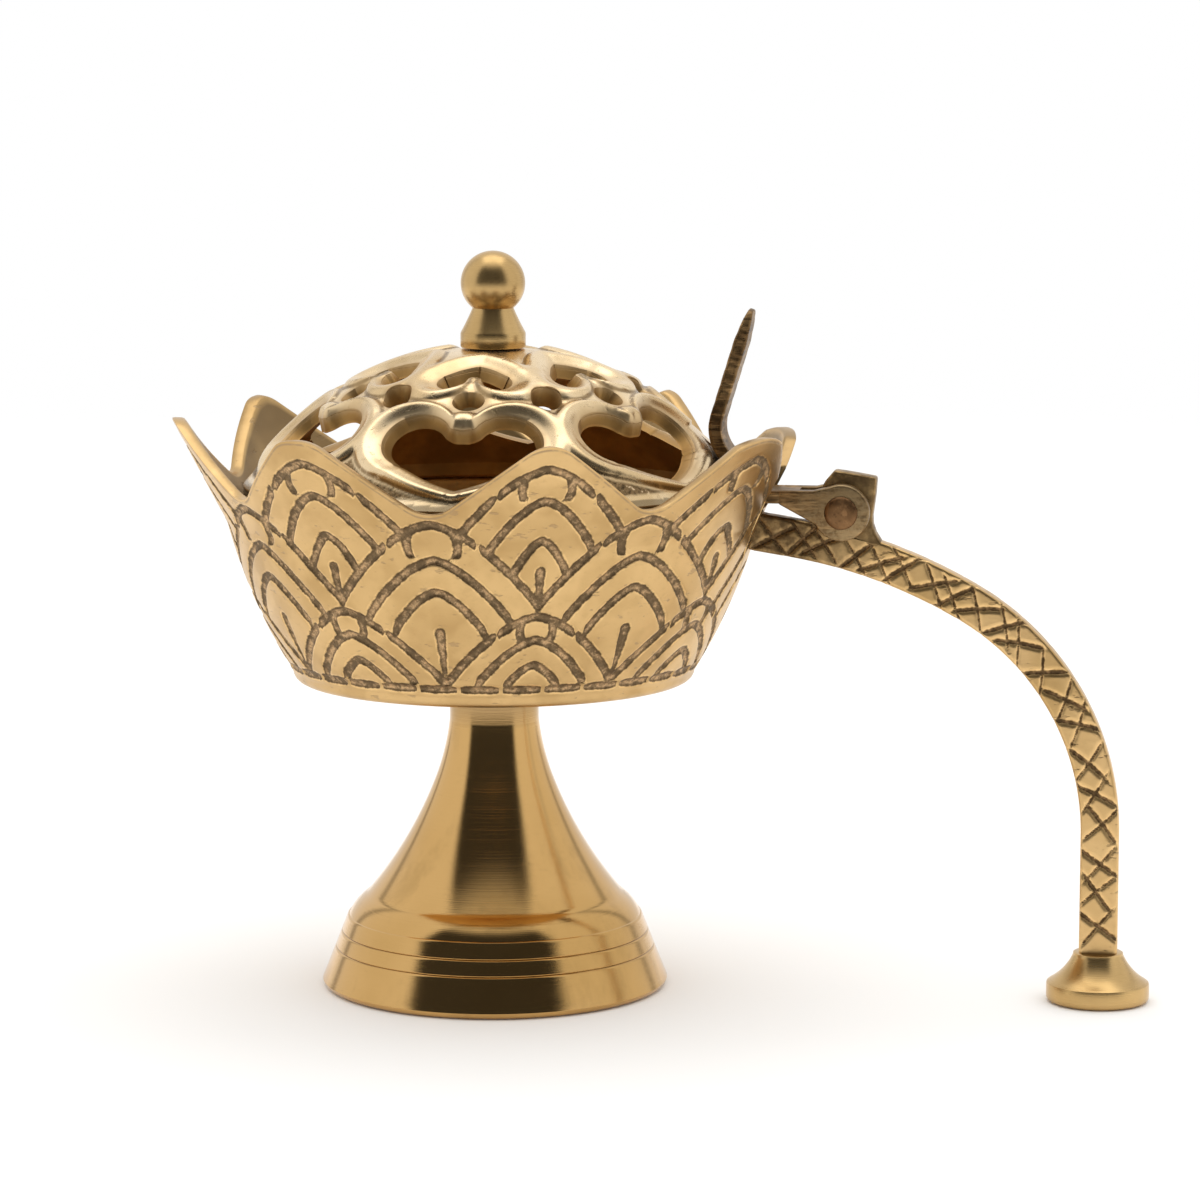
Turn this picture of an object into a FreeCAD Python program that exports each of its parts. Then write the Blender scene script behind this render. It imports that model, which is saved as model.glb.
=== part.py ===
import FreeCAD
import Part
import math
import os

from FreeCAD import Vector

# Incense burner: a petalled brass bowl on a turned pedestal, with a pierced lid
# that hinges on the handle. Millimetres, +Z up, origin on the table under the
# bowl's axis, handle towards +X.

# Fits
run_fit = 0.05
snug_gap = 0.03
braze_gap = 0.05
side_play = 0.2

# Pedestal
foot_r = 21.2
foot_edge = 0.7
band_top_r = 18.05
band_top_z = 8.7
score_z = (4.8, 6.7)
score_depth = 0.2
lip_r = 17.85
lip_start_r = 15.6
lip_start_z = 11.35
lip_bulge = 0.45
flare_mid_r = 10.97
flare_mid_z = 17.9
neck_r = 5.45
neck_start_z = 33.0
neck_bend_r = 7.45
neck_bend_z = 25.05
neck_sweep = 0.7
foot_ring = 2.4
flare_wall = 2.5
hollow_top_r = 3.4
hollow_top_z = 24.0

# Bowl
bowl_z = 38.0
bowl_floor = 3.0
bowl_base_r = 24.5
bowl_edge = 1.2
belly_rise = 10.2
belly_bulge = 0.75
shoulder_r = 32.3
shoulder_rise = 19.5
hollow_set_in = 1.6
hollow_bevel = (1.0, 0.6)
hollow_bulge = 0.45
seat_rise = 21.2
seat_width = 2.6
petal_wall = 1.58
# The bearings of the valleys are spaced by hand, and two petals beside the strap stand lower.
valley_bearings = (0, 42.5, 85, 128, 172.5, 220, 267, 311.5)
low_petals = ((0, 2.6), (7, 0.9))
tip_r = 38.9
tip_rise = 32.3
tip_round = 5.0
petal_drop = 8.3
valley_round = 4.5
notch_rise = 0.4
notch_side = 0.4
floor_z = bowl_z + bowl_floor
belly_mid_r = (bowl_base_r + shoulder_r) / 2 + belly_bulge
belly_mid_z = bowl_z + belly_rise
shoulder_z = bowl_z + shoulder_rise
seat_z = bowl_z + seat_rise
tip_z = bowl_z + tip_rise
valley_z = tip_z - petal_drop
notch_z = seat_z + notch_rise
petal_slope = (tip_r - shoulder_r) / (tip_z - shoulder_z)
petal_foot_r = shoulder_r + (seat_z - shoulder_z) * petal_slope - petal_wall
seat_r = petal_foot_r - seat_width
trim = 4.0

# Lid
lid_lift = 0.1
lid_play = 1.3
skirt = 2.6
dome_rise = 16.7
dome_wall = 2.0
rim_wall = 1.9
rim_r = petal_foot_r - lid_play
rim_z = seat_z + lid_lift + skirt
crown_z = rim_z + dome_rise
dome_r = (rim_r ** 2 + dome_rise ** 2) / (2 * dome_rise)
dome_z = crown_z - dome_r
rim_lat = math.degrees(math.asin((rim_z - dome_z) / dome_r))
pierce = 2.25 * dome_wall

# Piercings, placed by their share of the way from the rim to the crown
heart_count = 6
heart_place = 0.239
heart_lobe_r = 4.7
heart_lobe_x = 5.1
heart_lobe_y = 2.2
heart_tip = 5.7
bud_place = 0.637
bud_lobe_r = 2.3
bud_lobe_x = 2.9
bud_lobe_y = 1.0
bud_tip = 4.2
dot_count = 12
dot_place = 0.481
dot_r = 1.95

# Knob
knob_sink = 0.25
knob_height = 11.65
knob_base_r = 3.95
knob_band = 1.85
knob_neck_r = 2.5
ball_r = 3.9
knob_seat_z = crown_z - knob_sink
knob_top_z = knob_seat_z + knob_height

# Screws
bowl_screw_r = 1.9
bowl_screw_reach = 10.0
bowl_screw_head_r = 3.4
bowl_screw_head = 1.7
knob_screw_r = 1.2
knob_screw_reach = 6.15
knob_screw_head_r = 2.3
knob_screw_head = 1.4
screw_end_room = 0.5
slot_width = 0.8
slot_depth = 0.6

# Handle, whose root, arch and leg are straight runs with two wide bends
handle_width = 4.6
handle_thick = 2.6
root_depth = 2.3
root_drop = 0.65
root_lean = 9.0
root_run = 17.0
arch_lean = 28.0
handle_reach = 73.9
foot_height = 6.0
bend_shares = (0.335, 0.627)
tenon_drop = 1.4
tenon_height = 3.0
tenon_past = 0.9
rove_side = 5.4
rove_thick = 1.0
rove_gap = 0.2
foot_disc_r = 6.2
foot_disc_edge = 2.4
foot_disc_chamfer = 0.5
foot_disc_top_r = 3.0
peg_r = 1.1
peg_length = 4.0
tenon_z = shoulder_z - tenon_drop

# Strap and thumb lever
cheek = 1.75
strap_thick = 1.6
strap_clear = 0.6
strap_gap = 0.08
strap_place = 0.0744
strap_bends = (1.8, 2.6)
lever_foot = 4.4
lever_lean = 73.0
lever_length = 15.8
lever_round = 2.4
rivet_r = 0.75
rivet_head_r = 1.4
rivet_head = 0.7
rivet_spread = 1.7
strap_width = handle_thick + 2 * (side_play + cheek)
strap_z = notch_z + strap_clear + strap_thick / 2

# Hinge
pin_out = 10.3
pin_drop = 1.8
pin_r = 1.5
pin_head_r = 2.0
pin_head = 0.5
knuckle_r = 3.4
slot_reach = 5.2
lug = ((-3.2, -2.6), (-2.4, 3.1), (-1.0, 4.9), (4.1, 4.1), (3.6, -0.6))
lug_heel = ((4.0, -2.6), (5.8, -4.6))
lug_corner = 0.35
pin_x = shoulder_r + pin_out
pin_z = strap_z - pin_drop


def at(x, z):
    return Vector(x, 0, z)


def outline(start, steps):
    # A step is a point for a straight edge, or a pair of points for an arc.
    edges = []
    here = at(*start)
    for step in steps:
        if isinstance(step[0], tuple):
            there = at(*step[1])
            edges.append(Part.Arc(here, at(*step[0]), there).toShape())
        else:
            there = at(*step)
            edges.append(Part.makeLine(here, there))
        here = there
    if here.distanceToPoint(at(*start)) > 1e-6:
        edges.append(Part.makeLine(here, at(*start)))
    return Part.Face(Part.Wire(edges))


def turned(start, steps):
    return outline(start, steps).revolve(Vector(0, 0, 0), Vector(0, 0, 1), 360)


def plate(face, thick):
    face.translate(Vector(0, -thick / 2, 0))
    return face.extrude(Vector(0, thick, 0))


def rod(radius, start, end):
    axis = end - start
    return Part.makeCylinder(radius, axis.Length, start, axis)


def block(x, y, z):
    size = [high - low for low, high in (x, y, z)]
    return Part.makeBox(*size, Vector(x[0], y[0], z[0]))


def left(run):
    return Vector(-run.y, run.x, 0)


def bent_strip(points, bends, thick):
    # A strip along straight runs joined by round bends, seen from the side.
    path = [Vector(x, z, 0) for x, z in points]
    runs = [(b - a).normalize() for a, b in zip(path, path[1:])]

    def side(offset):
        stops = [path[0] + left(runs[0]) * offset]
        for corner, bend, a, b in zip(path[1:-1], bends, runs, runs[1:]):
            turn = math.atan2(a.cross(b).z, a.dot(b))
            hand = math.copysign(1, turn)
            centre = corner - a * (bend * math.tan(abs(turn) / 2)) + left(a) * (hand * bend)
            reach = hand * bend - offset
            middle = (left(a) + left(b)).normalize()
            stops += [centre - normal * reach for normal in (left(a), middle, left(b))]
        stops.append(path[-1] + left(runs[-1]) * offset)
        return [(stop.x, stop.y) for stop in stops]

    steps = []
    for stops in (side(thick / 2), side(-thick / 2)[::-1]):
        steps.append(stops[0])
        for i in range(1, len(stops) - 1, 3):
            steps += [stops[i], (stops[i + 1], stops[i + 2])]
        steps.append(stops[-1])
    return outline(steps[0], steps[1:])


def bowl_outside(extra, top_z):
    top_r = tip_r + (top_z - tip_z) * petal_slope
    foot = shoulder_r + extra
    middle = math.sqrt(0.5)
    return [
        (bowl_base_r - bowl_edge, bowl_z - extra),
        ((bowl_base_r - bowl_edge * (1 - middle) + extra, bowl_z + bowl_edge * (1 - middle)),
         (bowl_base_r + extra, bowl_z + bowl_edge)),
        ((belly_mid_r + extra, belly_mid_z), (foot, shoulder_z)),
        (top_r + extra, top_z),
    ]


def petal_flank():
    # The middle of a valley's round, the middle of a tip's round, and the lean of the flank between.
    half = tip_r * math.sin(math.pi / len(valley_bearings))
    low = Vector(0, valley_z + valley_round, 0)
    high = Vector(half, tip_z - tip_round, 0)
    span = high - low
    return low, high, math.atan2(span.y, span.x) + math.asin((valley_round + tip_round) / span.Length)


def scallop():
    # The cut that leaves one rounded valley between two rounded petal tips.
    low, high, lean = petal_flank()
    half = high.x
    normal = Vector(-math.sin(lean), math.cos(lean), 0)
    a = low - normal * valley_round
    b = high + normal * tip_round
    crest = math.pi / 2 + lean / 2
    c = high + Vector(math.cos(crest), math.sin(crest), 0) * tip_round
    far = half + trim
    steps = [
        ((0, valley_z), (a.x, a.y)),
        (b.x, b.y),
        ((c.x, c.y), (half, tip_z)),
        (far, tip_z),
        (far, tip_z + 2 * trim),
        (-far, tip_z + 2 * trim),
        (-far, tip_z),
        (-half, tip_z),
        ((-c.x, c.y), (-b.x, b.y)),
    ]
    face = outline((-a.x, a.y), steps)
    cut = face.extrude(Vector(0, -tip_r - trim, 0))
    cut.rotate(Vector(0, 0, 0), Vector(0, 0, 1), 90)
    return cut


def low_crest(half_gap, drop):
    # The cut that lowers one petal to a broader round between the same flanks.
    low, high, lean = petal_flank()
    start = high + Vector(-math.sin(lean), math.cos(lean), 0) * tip_round
    apex = start.y + (tip_r * math.sin(half_gap) - start.x) * math.tan(lean)
    lean = math.atan(math.tan(lean) * math.cos(half_gap))
    broad = (apex - tip_z + drop) / (1 / math.cos(lean) - 1)
    half = broad * math.sin(lean)
    axis_z = tip_z - drop - broad
    cut = block((0, tip_r + trim), (-half, half), (axis_z + broad * math.cos(lean), tip_z + trim))
    return cut.cut(rod(broad, at(-trim, axis_z), at(tip_r + 2 * trim, axis_z)))


def heart(lobe_r, lobe_x, lobe_y, tip, up):
    # A heart prism that points out of the dome along +X, tip along -up.
    centre = Vector(lobe_x, lobe_y, 0)
    reach = Vector(lobe_x, lobe_y + tip, 0)
    lean = math.atan2(reach.y, reach.x) - math.asin(lobe_r / reach.Length)
    run = math.sqrt(reach.Length ** 2 - lobe_r ** 2)
    side = Vector(run * math.cos(lean), run * math.sin(lean) - tip, 0)
    crown = centre + Vector(math.sin(math.radians(20)), math.cos(math.radians(20)), 0) * lobe_r
    cleft = lobe_x - lobe_r
    steps = [
        (side.x, side.y),
        ((crown.x, crown.y), (cleft, lobe_y)),
        ((0, lobe_y - cleft), (-cleft, lobe_y)),
        ((-crown.x, crown.y), (-side.x, side.y)),
    ]
    prism = outline((0, -tip), steps).extrude(Vector(0, 2 * pierce, 0))
    prism.translate(Vector(0, -pierce, 0))
    prism.rotate(Vector(0, 0, 0), Vector(0, 0, 1), 90)
    if not up:
        prism.rotate(Vector(0, 0, 0), Vector(1, 0, 0), 180)
    return prism


def latitude(place):
    return rim_lat + place * (90 - rim_lat)


def on_dome(shape, place, azimuth):
    lat = latitude(place)
    placed = shape.copy()
    placed.translate(Vector(dome_r, 0, 0))
    placed.rotate(Vector(0, 0, 0), Vector(0, 1, 0), -lat)
    placed.rotate(Vector(0, 0, 0), Vector(0, 0, 1), azimuth)
    placed.translate(Vector(0, 0, dome_z))
    return placed


def slotted_head(radius, height):
    head = Part.makeCylinder(radius, height)
    top = [e for e in head.Edges if e.BoundBox.ZMin > height - 1e-6]
    head = head.makeFillet(0.45 * height, top)
    half = slot_width / 2
    groove = block((-radius, radius), (-half, half), (height - slot_depth, height))
    return head.cut(groove)


def make_pedestal():
    band = [(foot_r - foot_edge, 0), (foot_r, foot_edge)]
    lean = (foot_r - band_top_r) / (band_top_z - foot_edge)
    for z in score_z:
        for step, cut in ((-score_depth, 0), (0, score_depth), (score_depth, 0)):
            band.append((foot_r - lean * (z + step - foot_edge) - cut, z + step))
    lip_mid = (lip_r + lip_start_r) / 2 + lip_bulge, (band_top_z + lip_start_z) / 2 - lip_bulge / 3
    steps = band[1:] + [
        (band_top_r, band_top_z),
        (lip_r, band_top_z),
        (lip_mid, (lip_start_r, lip_start_z)),
        ((flare_mid_r, flare_mid_z), (neck_bend_r, neck_bend_z)),
        ((neck_r + neck_sweep, (neck_bend_z + neck_start_z) / 2), (neck_r, neck_start_z)),
        (neck_r, bowl_z),
        (0, bowl_z),
        (0, hollow_top_z),
        (hollow_top_r, hollow_top_z),
        ((flare_mid_r - flare_wall, flare_mid_z - flare_wall),
         (lip_start_r - flare_wall, lip_start_z - flare_wall)),
        (band_top_r - foot_ring, band_top_z - flare_wall),
        (foot_r - foot_edge - foot_ring, 0),
    ]
    body = turned(band[0], steps)
    bore = rod(bowl_screw_r + snug_gap, at(0, bowl_z - bowl_screw_reach - screw_end_room), at(0, bowl_z))
    return body.cut(bore)


def bowl_inner_curve():
    low = bowl_base_r - hollow_set_in, floor_z + hollow_bevel[1]
    return ((seat_r + low[0]) / 2 + hollow_bulge, (seat_z + low[1]) / 2), low


def bowl_inner_arc():
    middle, low = bowl_inner_curve()
    return Part.Arc(at(seat_r, seat_z), at(*middle), at(*low)).toShape().Curve


def inner_wall_at(z):
    # The radius of the hollow's wall at a height, and how far the wall leans there.
    curve = bowl_inner_arc()
    lean = math.asin((z - curve.Center.z) / curve.Radius)
    return curve.Center.x + curve.Radius * math.cos(lean), lean


def make_bowl():
    top_z = tip_z + trim
    inner_curve = bowl_inner_curve()
    outside = bowl_outside(0, top_z)
    inner_top_r = petal_foot_r + (top_z - seat_z) * petal_slope
    inner = [
        (inner_top_r, top_z),
        (petal_foot_r, seat_z),
        (seat_r, seat_z),
        inner_curve,
        (inner_curve[1][0] - hollow_bevel[0], floor_z),
        (0, floor_z),
    ]
    body = turned((0, bowl_z), outside + inner)
    cuts = [(scallop(), bearing) for bearing in valley_bearings]
    for i, drop in low_petals:
        before, after = (valley_bearings + (360,))[i:i + 2]
        cuts.append((low_crest(math.radians(after - before) / 2, drop), (before + after) / 2))
    for cut, bearing in cuts:
        cut.rotate(Vector(0, 0, 0), Vector(0, 0, 1), bearing)
        body = body.cut(cut)
    half = strap_width / 2 + notch_side
    body = body.cut(block((seat_r, tip_r + trim), (-half, half), (notch_z, tip_z + trim)))
    body = body.cut(tenon(braze_gap))
    body = body.cut(rod(bowl_screw_r + 2 * run_fit, at(0, bowl_z), at(0, floor_z)))
    return body


def tenon(extra):
    half = handle_thick / 2 + extra
    tall = tenon_height / 2 + extra
    inside = inner_wall_at(tenon_z)[0] - rove_gap - rove_thick - tenon_past
    return block((inside, shoulder_r + handle_thick), (-half, half), (tenon_z - tall, tenon_z + tall))


def make_bowl_screw():
    head = slotted_head(bowl_screw_head_r, bowl_screw_head)
    head.translate(at(0, floor_z))
    shank = rod(bowl_screw_r, at(0, bowl_z - bowl_screw_reach), at(0, floor_z))
    return head.fuse(shank).removeSplitter()


def handle_path():
    first, second = math.radians(root_lean), math.radians(arch_lean)
    root = Vector(shoulder_r - root_depth, shoulder_z - root_drop, 0)
    rise = root + Vector(math.cos(first), -math.sin(first), 0) * root_run
    arch = (handle_reach - rise.x) / math.cos(second)
    fall = rise + Vector(math.cos(second), -math.sin(second), 0) * arch
    turns = second - first, math.pi / 2 - second
    bends = [share * arch / math.tan(turn / 2) for share, turn in zip(bend_shares, turns)]
    return [(p.x, p.y) for p in (root, rise, fall)] + [(handle_reach, foot_height)], bends


def make_handle():
    bar = plate(bent_strip(*handle_path(), handle_width), handle_thick)
    corners = [(pin_x + x, pin_z + z) for x, z in lug]
    heel = tuple((pin_x + x, pin_z + z) for x, z in lug_heel)
    ear = plate(outline(corners[0], corners[1:] + [heel]), handle_thick)
    ends = [e for e in ear.Edges if e.BoundBox.DiagonalLength < handle_thick + 0.01]
    ear = ear.makeFillet(lug_corner, [e for e in ends if e.BoundBox.ZMin > pin_z])
    wall_solid = turned((0, bowl_z - braze_gap), bowl_outside(braze_gap, valley_z) + [(0, valley_z)])
    body = bar.fuse(ear).cut(wall_solid).fuse(tenon(0))
    body = body.cut(cross_rod(pin_r + run_fit, handle_thick))
    peg = rod(peg_r, at(handle_reach, foot_height - peg_length), at(handle_reach, foot_height))
    return body.fuse(peg).removeSplitter()


def cross_rod(radius, length):
    half = length / 2
    return rod(radius, Vector(pin_x, -half, pin_z), Vector(pin_x, half, pin_z))


def make_handle_rove():
    # A washer plate that lies along the bowl's inner wall, round the tenon.
    wall_r, lean = inner_wall_at(tenon_z)
    half = rove_side / 2
    wash = block((-rove_thick - rove_gap, -rove_gap), (-half, half), (-half, half))
    wash.rotate(Vector(0, 0, 0), Vector(0, 1, 0), -math.degrees(lean))
    wash.translate(at(wall_r, tenon_z))
    return wash.cut(tenon(snug_gap))


def make_handle_foot():
    bend = 0.415 * (foot_disc_r + foot_disc_top_r), 0.6 * foot_disc_edge + 0.367 * foot_height
    steps = [
        (foot_disc_r - foot_disc_chamfer, 0),
        (foot_disc_r, foot_disc_chamfer),
        (foot_disc_r, foot_disc_edge),
        (bend, (foot_disc_top_r, foot_height)),
        (0, foot_height),
    ]
    disc = turned((0, 0), steps)
    hole_z = foot_height - peg_length - braze_gap
    disc = disc.cut(rod(peg_r + snug_gap, at(0, hole_z), at(0, foot_height)))
    disc.translate(at(handle_reach, 0))
    return disc


def make_hinge_pin():
    reach = strap_width / 2 + 2 * run_fit
    pin = cross_rod(pin_r, 2 * reach)
    for hand in (-1, 1):
        face = Vector(pin_x, hand * reach, pin_z)
        head = rod(pin_head_r, face, face + Vector(0, hand * pin_head, 0))
        outer = [e for e in head.Edges if abs(e.BoundBox.Center.y) > reach + 0.9 * pin_head]
        pin = pin.fuse(head.makeFillet(0.6 * pin_head, [e for e in outer if e.BoundBox.YLength < 1e-6]))
    return pin.removeSplitter()


def make_lid_dome():
    inner_r = dome_r - dome_wall
    skirt_r = rim_r - rim_wall
    join_z = dome_z + math.sqrt(inner_r ** 2 - skirt_r ** 2)
    flat_r = math.sqrt(dome_r ** 2 - (knob_seat_z - dome_z) ** 2)
    middle = math.radians(latitude(0.5))
    body = turned((rim_r, seat_z + lid_lift), [
        (rim_r, rim_z),
        ((dome_r * math.cos(middle), dome_z + dome_r * math.sin(middle)), (flat_r, knob_seat_z)),
        (0, knob_seat_z),
        (0, dome_z + inner_r),
        ((inner_r * math.cos(middle), dome_z + inner_r * math.sin(middle)), (skirt_r, join_z)),
        (skirt_r, seat_z + lid_lift),
    ])
    big = heart(heart_lobe_r, heart_lobe_x, heart_lobe_y, heart_tip, True)
    bud = heart(bud_lobe_r, bud_lobe_x, bud_lobe_y, bud_tip, False)
    dot = rod(dot_r, Vector(-pierce, 0, 0), Vector(pierce, 0, 0))
    cuts = []
    for i in range(heart_count):
        azimuth = 90 + 360 / heart_count * i
        cuts += [on_dome(big, heart_place, azimuth), on_dome(bud, bud_place, azimuth)]
    cuts += [on_dome(dot, dot_place, 360 / dot_count * i) for i in range(dot_count)]
    cuts += rivet_rods(rivet_r + snug_gap)
    cuts.append(rod(knob_screw_r + run_fit, at(0, dome_z), at(0, knob_seat_z)))
    return body.cut(cuts)


def rivet_rods(radius):
    rods = []
    for y in (-rivet_spread, rivet_spread):
        shank = rod(radius, Vector(-pierce, y, 0), Vector(strap_gap + strap_thick, y, 0))
        rods.append(on_dome(shank, strap_place, 0))
    return rods


def make_strap_rivets():
    outer = strap_gap + strap_thick
    inner = -dome_wall - rivet_r / 4
    rivets = []
    for shank, y in zip(rivet_rods(rivet_r), (-rivet_spread, rivet_spread)):
        keep = rod(rivet_head_r, Vector(inner, y, 0), Vector(outer, y, 0))
        rivet = shank.common(on_dome(keep, strap_place, 0))
        for start, hand in ((outer, 1), (inner, -1)):
            face = Vector(start, y, 0)
            head = rod(rivet_head_r, face, face + Vector(hand * rivet_head, 0, 0))
            ends = [e for e in head.Edges if abs(e.BoundBox.Center.x - start) > 0.9 * rivet_head]
            head = head.makeFillet(0.7 * rivet_head, ends)
            rivet = rivet.fuse(on_dome(head, strap_place, 0))
        rivets.append(rivet.removeSplitter())
    return Part.makeCompound(rivets)


def make_lid_strap():
    lat = math.radians(latitude(strap_place))
    out = Vector(math.cos(lat), math.sin(lat), 0)
    up = Vector(-math.sin(lat), math.cos(lat), 0)
    base = Vector(0, dome_z, 0) + out * (dome_r + strap_gap + strap_thick / 2)
    low = base + up * ((strap_z - base.y) / up.y)
    high = base + up * lever_foot
    lean = math.radians(lever_lean)
    tip = high + Vector(math.cos(lean), math.sin(lean), 0) * lever_length
    path = [(pin_x - knuckle_r, strap_z)] + [(p.x, p.y) for p in (low, high, tip)]
    strip = plate(bent_strip(path, strap_bends, strap_thick), strap_width)
    ends = [e for e in strip.Edges if e.BoundBox.ZMax > tip.y - strap_thick / 3 and e.Length < strap_thick + 0.01]
    strip = strip.makeFillet(lever_round, ends)

    def on_knuckle(degrees):
        angle = math.radians(degrees)
        return pin_x + knuckle_r * math.cos(angle), pin_z + knuckle_r * math.sin(angle)

    half = strap_thick / 2
    root_x = low.x + strap_bends[0]
    fork = outline((root_x, strap_z - half), [
        (root_x, strap_z + half),
        (pin_x - knuckle_r, strap_z + half),
        on_knuckle(115),
        (on_knuckle(0), on_knuckle(-155)),
    ])
    body = strip.fuse(plate(fork, strap_width))
    gap = handle_thick / 2 + side_play
    reach = knuckle_r + strap_thick
    body = body.cut(block((pin_x - slot_reach, pin_x + reach), (-gap, gap), (pin_z - reach, pin_z + reach)))
    body = body.cut(cross_rod(pin_r + run_fit, 2 * strap_width))
    return body.cut(rivet_rods(rivet_r + snug_gap)).removeSplitter()


def make_knob():
    ball_z = knob_top_z - ball_r
    neck_z = ball_z - math.sqrt(ball_r ** 2 - knob_neck_r ** 2)
    body = turned((0, knob_seat_z), [
        (knob_base_r, knob_seat_z),
        (knob_base_r, knob_seat_z + knob_band),
        (knob_neck_r, neck_z),
        ((ball_r, ball_z), (0, knob_top_z)),
    ])
    bore_z = knob_seat_z + knob_screw_reach + screw_end_room
    return body.cut(rod(knob_screw_r + snug_gap, at(0, knob_seat_z), at(0, bore_z)))


def make_knob_screw():
    seat = crown_z - dome_wall - 2 * run_fit
    head = slotted_head(knob_screw_head_r, knob_screw_head)
    head.rotate(Vector(0, 0, 0), Vector(1, 0, 0), 180)
    head.translate(at(0, seat))
    shank = rod(knob_screw_r, at(0, seat), at(0, knob_seat_z + knob_screw_reach))
    return head.fuse(shank).removeSplitter()


nodes = {
    "pedestal": make_pedestal(),
    "bowl": make_bowl(),
    "bowl_screw": make_bowl_screw(),
    "handle": make_handle(),
    "handle_rove": make_handle_rove(),
    "handle_foot": make_handle_foot(),
    "hinge_pin": make_hinge_pin(),
    "lid_dome": make_lid_dome(),
    "lid_strap": make_lid_strap(),
    "strap_rivets": make_strap_rivets(),
    "knob": make_knob(),
    "knob_screw": make_knob_screw(),
}

os.makedirs("parts", exist_ok=True)
for name, shape in nodes.items():
    shape.exportStep("parts/" + name + ".step")
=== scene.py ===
import math

import bmesh
import bpy
import numpy as np
from mathutils import Matrix, Vector


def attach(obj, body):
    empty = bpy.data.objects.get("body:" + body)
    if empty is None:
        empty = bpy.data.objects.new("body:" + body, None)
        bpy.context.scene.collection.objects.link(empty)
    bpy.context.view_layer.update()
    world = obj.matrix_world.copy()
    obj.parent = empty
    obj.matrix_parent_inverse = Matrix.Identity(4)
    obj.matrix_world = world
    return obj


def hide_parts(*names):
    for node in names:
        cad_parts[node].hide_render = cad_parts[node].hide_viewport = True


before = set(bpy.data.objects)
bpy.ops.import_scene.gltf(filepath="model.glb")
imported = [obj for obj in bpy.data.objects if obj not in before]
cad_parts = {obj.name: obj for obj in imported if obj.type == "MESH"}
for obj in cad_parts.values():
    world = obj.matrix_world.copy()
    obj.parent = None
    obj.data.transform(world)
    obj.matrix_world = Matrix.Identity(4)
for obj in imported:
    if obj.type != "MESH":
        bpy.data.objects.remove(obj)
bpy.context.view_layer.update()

scene = bpy.context.scene

# Sizes of the burner in millimetres
bowl_z, bowl_edge, bowl_base_r = 38.0, 1.2, 24.5
bowl_floor, bowl_bore_r = 3.0, 1.99
belly, shoulder = (29.15, 48.2), (32.3, 57.5)
tip_r, tip_z, valley_z = 38.9, 70.3, 62.0
tip_round, valley_round = 5.0, 4.5
valleys = (0, 42.5, 85, 128, 172.5, 220, 267, 311.5, 360)
low_petals = ((0, 2.6), (7, 0.9))
petal_slope = (tip_r - shoulder[0]) / (tip_z - shoulder[1])
petal_wall, seat_z = 1.58, 59.2
petal_foot_r = shoulder[0] + (seat_z - shoulder[1]) * petal_slope - petal_wall
seat_r = petal_foot_r - 2.6
notch_z, notch_half = 59.6, 3.65
rim_r, rim_z, crown_z = petal_foot_r - 1.3, 61.9, 78.6
dome_r = (rim_r ** 2 + (crown_z - rim_z) ** 2) / (2 * (crown_z - rim_z))
dome_z = crown_z - dome_r
rim_lat = math.degrees(math.asin((rim_z - dome_z) / dome_r))
pin_x, pin_z = 42.6, 59.2
leg_x, foot_top = 73.9, 6.0
dome_wall = 2.0

# Units
mm, mm_per_m = 0.001, 1000.0

# Distance marks where no cut line and no rim is near
uncut, no_rim = 3.0, 9.0

# Fineness of the meshes
bowl_steps, wall_rings, petal_rings = 640, 113, 14
pedestal_steps, small_steps, pin_steps, skirt_steps = 200, 120, 72, 240
lid_cells, lid_reach = 242, 36.4


# Shader arithmetic

class Signal:
    """A shader socket that can be added, multiplied and compared."""

    def __init__(self, tree, socket):
        self.tree = tree
        self.socket = socket

    def maths(self, operation, *values):
        return node(self.tree, "ShaderNodeMath", {"operation": operation}, dict(enumerate(values)))

    def __add__(self, other):
        return self.maths("ADD", self, other)

    def __radd__(self, other):
        return self.maths("ADD", other, self)

    def __sub__(self, other):
        return self.maths("SUBTRACT", self, other)

    def __rsub__(self, other):
        return self.maths("SUBTRACT", other, self)

    def __mul__(self, other):
        return self.maths("MULTIPLY", self, other)

    def __rmul__(self, other):
        return self.maths("MULTIPLY", other, self)

    def __abs__(self):
        return self.maths("ABSOLUTE", self)

    def __or__(self, other):
        return self.maths("MAXIMUM", self, other)

    def step(self, low, high):
        """Rises smoothly from 0 at low to 1 at high."""
        return node(self.tree, "ShaderNodeMapRange", {"interpolation_type": "SMOOTHSTEP"},
                    {0: self, 1: low, 2: high, 3: 0.0, 4: 1.0})


def node(tree, kind, settings, sockets, out=0):
    made = tree.nodes.new(kind)
    for name, value in settings.items():
        setattr(made, name, value)
    for name, value in sockets.items():
        if isinstance(value, Signal):
            tree.links.new(value.socket, made.inputs[name])
        else:
            made.inputs[name].default_value = value
    return Signal(tree, made.outputs[out])


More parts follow.
